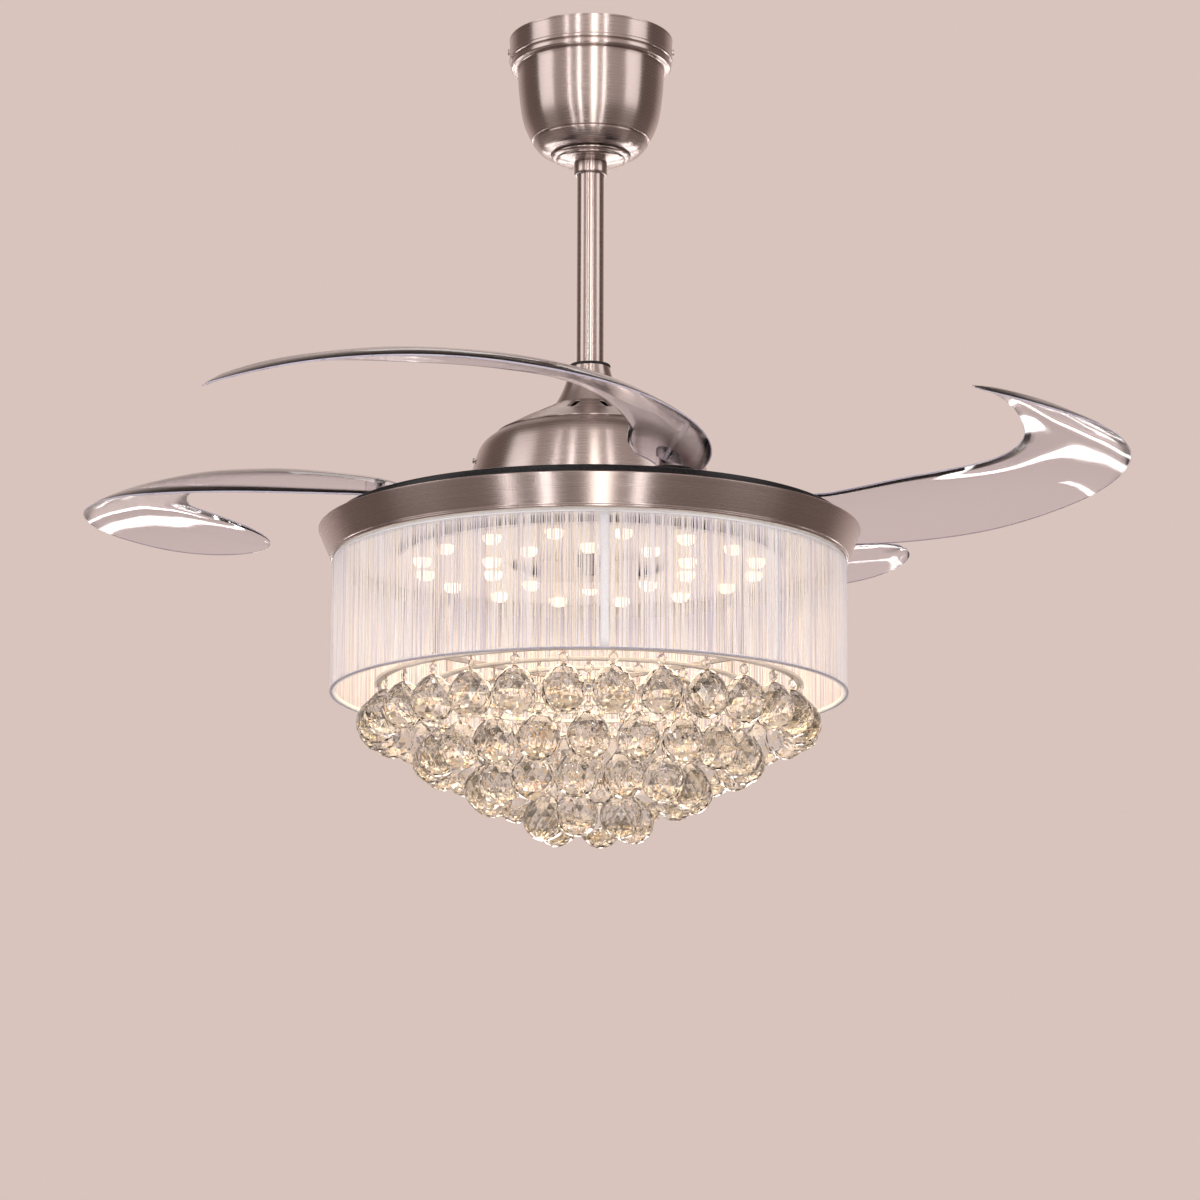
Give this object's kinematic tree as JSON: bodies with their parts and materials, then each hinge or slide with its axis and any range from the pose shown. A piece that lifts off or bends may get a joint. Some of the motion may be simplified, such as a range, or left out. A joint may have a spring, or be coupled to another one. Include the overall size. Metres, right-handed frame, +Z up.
{
  "type": "retractable blade ceiling fan",
  "caption": "Ceiling fan with clear blades that fold over the motor and spread as it turns, on a nickel downrod, with a round thread shade and tiers of crystal balls below.",
  "frame": {"origin": "centre of the mounting bracket's flat top, on the ceiling plane", "axes": "+Z up, square to the ceiling and along the rotor's axis; -Y towards the front, as seen in the picture; +X to the right"},
  "size_m": [1.0224, 1.0224, 0.8099],
  "materials": {
    "brushed_nickel": "brushed",
    "black_coat": "satin",
    "zinc_steel": "satin",
    "clear_acrylic": "clear gloss",
    "black_rubber": "matt",
    "white_plastic": "matt",
    "nylon": "matt",
    "shade_thread": "sheer thread",
    "crystal_glass": "faceted",
    "magnet_ferrite": "matt",
    "stator_laminations": "matt",
    "white_coat": "satin"
  },
  "bodies": {
    "ceiling_and_lamp": {"mounting_bracket": "zinc_steel", "hanger_ball": "black_rubber", "hanger_pin": "zinc_steel", "canopy": "brushed_nickel", "canopy_lower_ring": "brushed_nickel", "canopy_screw_1": "brushed_nickel", "canopy_screw_2": "brushed_nickel", "receiver_box": "white_plastic", "downrod": "brushed_nickel", "downrod_collar": "brushed_nickel", "coupler_gasket": "black_rubber", "coupler_cover": "brushed_nickel", "dome_vent_ring": "brushed_nickel", "motor_dome": "brushed_nickel", "dome_screw_1": "zinc_steel", "dome_screw_2": "zinc_steel", "motor_yoke": "zinc_steel", "yoke_pin": "zinc_steel", "motor_shaft": "zinc_steel", "motor_stator": "stator_laminations", "light_pan": "white_coat", "nickel_band": "brushed_nickel", "shaft_nut": "zinc_steel", "led_driver": "white_plastic", "led_plate": "white_plastic", "shade": "shade_thread", "shade_top_ring": "white_coat", "shade_bottom_ring": "white_coat", "crystal_tier_1": "crystal_glass", "crystal_tier_2": "crystal_glass", "crystal_tier_3": "crystal_glass", "crystal_tier_4": "crystal_glass", "crystal_frame": "white_coat"},
    "rotor": {"rotor_disc": "black_coat", "rotor_bell": "zinc_steel", "rotor_magnets": "magnet_ferrite", "bearing_upper": "zinc_steel", "bearing_lower": "zinc_steel", "blade_spring_1": "zinc_steel", "blade_spring_2": "zinc_steel", "blade_spring_3": "zinc_steel", "blade_spring_4": "zinc_steel"},
    "sync_ring": {"sync_ring": "nylon"},
    "blade_arm_1": {"blade_1": "clear_acrylic", "blade_hub_1": "black_coat", "blade_screw_1": "zinc_steel", "blade_pinion_1": "nylon"},
    "blade_arm_2": {"blade_2": "clear_acrylic", "blade_hub_2": "black_coat", "blade_screw_2": "zinc_steel", "blade_pinion_2": "nylon"},
    "blade_arm_3": {"blade_3": "clear_acrylic", "blade_hub_3": "black_coat", "blade_screw_3": "zinc_steel", "blade_pinion_3": "nylon"},
    "blade_arm_4": {"blade_4": "clear_acrylic", "blade_hub_4": "black_coat", "blade_screw_4": "zinc_steel", "blade_pinion_4": "nylon"}
  },
  "joints": [
    {"name": "rotor_spin", "type": "hinge", "parent": "ceiling_and_lamp", "child": "rotor", "pos_m": [0, 0, -0.4972], "axis": [0, 0, 1], "continuous": true},
    {"name": "blade_1_swing", "type": "hinge", "parent": "rotor", "child": "blade_arm_1", "pos_m": [0.20178, 0.07424, -0.4972], "axis": [0, 0, 1], "range_deg": [-86, 0]},
    {"name": "blade_2_swing", "type": "hinge", "parent": "rotor", "child": "blade_arm_2", "pos_m": [-0.07424, 0.20178, -0.4972], "axis": [0, 0, 1], "range_deg": [-86, 0]},
    {"name": "blade_3_swing", "type": "hinge", "parent": "rotor", "child": "blade_arm_3", "pos_m": [-0.20178, -0.07424, -0.4972], "axis": [0, 0, 1], "range_deg": [-86, 0]},
    {"name": "blade_4_swing", "type": "hinge", "parent": "rotor", "child": "blade_arm_4", "pos_m": [0.07424, -0.20178, -0.4972], "axis": [0, 0, 1], "range_deg": [-86, 0]},
    {"name": "sync_ring_turn", "type": "hinge", "parent": "rotor", "child": "sync_ring", "pos_m": [0, 0, -0.5105], "axis": [0, 0, 1], "range_deg": [0, 8.83]}
  ],
  "couplings": [
    {"joint": "blade_2_swing", "follows": "blade_1_swing", "ratio": 1},
    {"joint": "blade_3_swing", "follows": "blade_1_swing", "ratio": 1},
    {"joint": "blade_4_swing", "follows": "blade_1_swing", "ratio": 1},
    {"joint": "sync_ring_turn", "follows": "blade_1_swing", "ratio": -0.10256}
  ]
}
